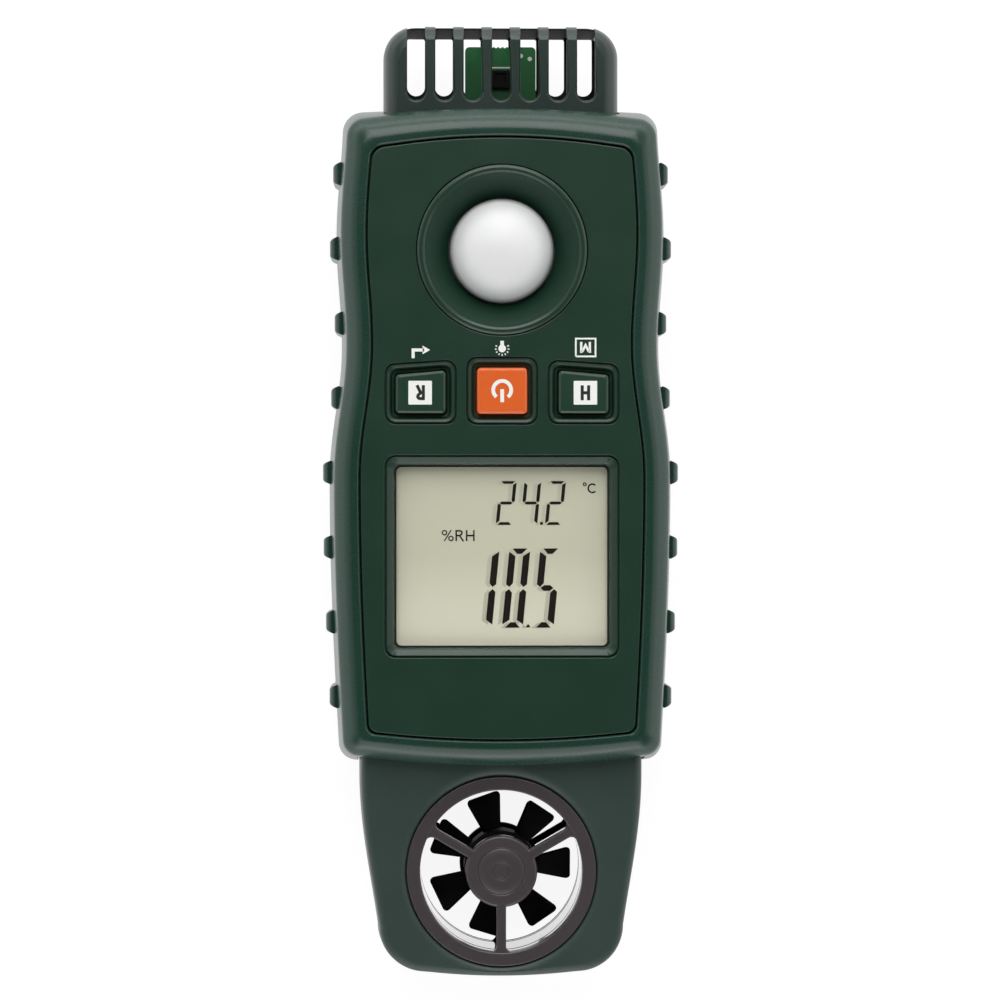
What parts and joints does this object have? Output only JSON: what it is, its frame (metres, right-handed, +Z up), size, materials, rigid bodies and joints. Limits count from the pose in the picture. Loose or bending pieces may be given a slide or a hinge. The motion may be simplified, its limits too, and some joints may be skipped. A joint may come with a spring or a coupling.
{
  "type": "handheld weather meter",
  "caption": "Handheld weather meter with a soft-edged grip, display, keys, domed light sensor, slotted humidity guard and a spinning vane head for air speed.",
  "frame": {"origin": "on the table under the middle of the whole object as it lies on its back", "axes": "+X to the right of the display, +Y along the length towards the humidity guard, +Z up out of the face"},
  "size_m": [0.0722, 0.193, 0.0345],
  "materials": {
    "case_green": "satin",
    "soft_green": "matte",
    "black_plastic": "satin",
    "orange_plastic": "satin",
    "white_dome": "matte",
    "white_plastic": "matte",
    "clear_window": "gloss",
    "display": "gloss",
    "filter_glass": "gloss",
    "contact_strip": "matte",
    "circuit_board": "satin",
    "chip_black": "matte",
    "lead_grey": "matte",
    "lead_red": "matte",
    "battery_wrap": "gloss",
    "steel": "satin",
    "brass": "satin"
  },
  "bodies": {
    "meter": {"front_cover": "case_green", "front_grip": "soft_green", "rear_cover": "case_green", "rear_grip": "soft_green", "sensor_guard_front": "case_green", "sensor_guard_rear": "case_green", "sensor_board": "circuit_board", "humidity_sensor": "chip_black", "sensor_ribbon": "lead_grey", "light_bezel": "case_green", "light_dome": "white_dome", "light_filter": "filter_glass", "photodiode": "steel", "light_spacer": "black_plastic", "lcd_window": "clear_window", "lcd_glass": "display", "lcd_frame": "white_plastic", "lcd_backlight": "white_plastic", "lcd_strips": "contact_strip", "key_switches": "chip_black", "main_board": "circuit_board", "board_chips": "chip_black", "board_screws": "steel", "battery": "battery_wrap", "battery_snap": "black_plastic", "battery_leads": "lead_red", "case_screws": "steel", "tripod_insert": "brass", "vane_head_front": "case_green", "vane_head_rear": "case_green", "vane_guard_front": "black_plastic", "vane_guard_rear": "black_plastic", "vane_bearings": "brass", "vane_pickup": "chip_black", "vane_ribbon": "lead_grey", "head_screws": "steel"},
    "vane": {"impeller": "black_plastic", "vane_axle": "steel"},
    "power_button": {"power_key": "orange_plastic", "power_plunger": "black_plastic"},
    "hold_button": {"hold_key": "case_green", "hold_plunger": "black_plastic"},
    "record_button": {"record_key": "case_green", "record_plunger": "black_plastic"},
    "back_cover": {"battery_cover": "case_green"}
  },
  "joints": [
    {"name": "vane_spin", "type": "hinge", "parent": "meter", "child": "vane", "pos_m": [0, -0.07485, 0.015], "axis": [0, 0, 1], "continuous": true},
    {"name": "power_press", "type": "slide", "parent": "meter", "child": "power_button", "axis": [0, 0, -1], "range_m": [0, 0.0008], "stiffness_N_per_m": 2000},
    {"name": "hold_press", "type": "slide", "parent": "meter", "child": "hold_button", "axis": [0, 0, -1], "range_m": [0, 0.0008], "stiffness_N_per_m": 2000},
    {"name": "record_press", "type": "slide", "parent": "meter", "child": "record_button", "axis": [0, 0, -1], "range_m": [0, 0.0008], "stiffness_N_per_m": 2000},
    {"name": "battery_cover_slide", "type": "slide", "parent": "meter", "child": "back_cover", "axis": [0, -1, 0], "range_m": [0, 0.062]}
  ]
}
